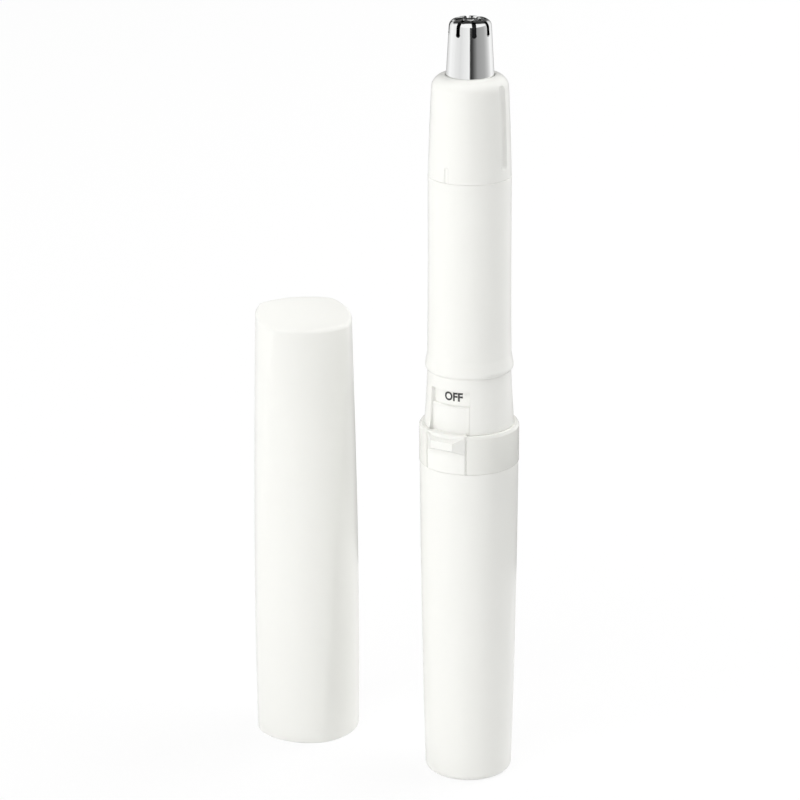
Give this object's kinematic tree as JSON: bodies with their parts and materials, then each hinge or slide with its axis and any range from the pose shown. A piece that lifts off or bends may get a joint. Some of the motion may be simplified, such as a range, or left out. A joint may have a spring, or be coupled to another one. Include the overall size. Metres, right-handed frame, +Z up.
{
  "type": "nose hair trimmer",
  "caption": "Slim battery nose hair trimmer with a slotted steel rotary head, a slide switch and a separate twisted rounded-square cap.",
  "frame": {"origin": "centre of the trimmer's flat foot, on the surface it stands on", "axes": "+Z up along the trimmer to its blade, -Y towards the slide switch, +X to the right of someone facing the switch; the cap stands at -X"},
  "size_m": [0.0547, 0.0204, 0.142],
  "materials": {
    "white_shell": "semi-gloss moulded",
    "white_collar": "gloss moulded",
    "chassis_plastic": "matte moulded",
    "dark_plastic": "matte moulded",
    "polished_steel": "polished stainless steel",
    "spring_steel": "bright steel",
    "brass": "stamped strip",
    "motor_steel": "plated steel",
    "magnet_ferrite": "sintered",
    "black_rubber": "matte",
    "cell_jacket": "plain printed jacket"
  },
  "bodies": {
    "body": {"neck_shell": "white_shell", "upper_barrel": "white_shell", "collar_ring": "white_collar", "cover_seal": "black_rubber", "chassis": "chassis_plastic", "aaa_cell": "cell_jacket", "positive_contact": "brass", "motor_strip": "brass", "negative_strip": "brass", "negative_spring": "spring_steel", "motor_can": "motor_steel", "motor_end_cap": "dark_plastic", "motor_magnet_front": "magnet_ferrite", "motor_magnet_rear": "magnet_ferrite", "motor_terminal_left": "brass", "motor_terminal_right": "brass", "shaft_seal": "black_rubber"},
    "cover": {"battery_cover": "white_shell"},
    "switch": {"switch_knob": "white_shell", "switch_contact": "brass"},
    "rotor": {"motor_shaft": "spring_steel", "motor_armature": "spring_steel", "drive_coupling": "dark_plastic"},
    "blade_head": {"head_housing": "white_shell", "outer_blade": "polished_steel", "blade_holder": "chassis_plastic"},
    "cutter": {"inner_blade": "spring_steel", "blade_carrier": "dark_plastic", "blade_spring": "spring_steel"},
    "loose_cap": {"cap": "white_shell"}
  },
  "joints": [
    {"name": "switch_slide", "type": "slide", "parent": "body", "child": "switch", "axis": [0, 0, 1], "range_m": [0, 0.0024]},
    {"name": "battery_cover_pull", "type": "slide", "parent": "body", "child": "cover", "axis": [0, 0, -1], "range_m": [0, 0.056]},
    {"name": "rotor_spin", "type": "hinge", "parent": "body", "child": "rotor", "pos_m": [0, 0, 0.1], "axis": [0, 0, 1], "continuous": true},
    {"name": "blade_head_lift", "type": "slide", "parent": "body", "child": "blade_head", "axis": [0, 0, 1], "range_m": [0, 0.02]},
    {"name": "inner_blade_spin", "type": "hinge", "parent": "blade_head", "child": "cutter", "pos_m": [0, 0, 0.13], "axis": [0, 0, 1], "continuous": true},
    {"name": "cap_lift", "type": "slide", "parent": "body", "child": "loose_cap", "axis": [0, 0, 1], "range_m": [0, 0.075]}
  ],
  "couplings": [
    {"joint": "inner_blade_spin", "follows": "rotor_spin", "ratio": 1}
  ]
}
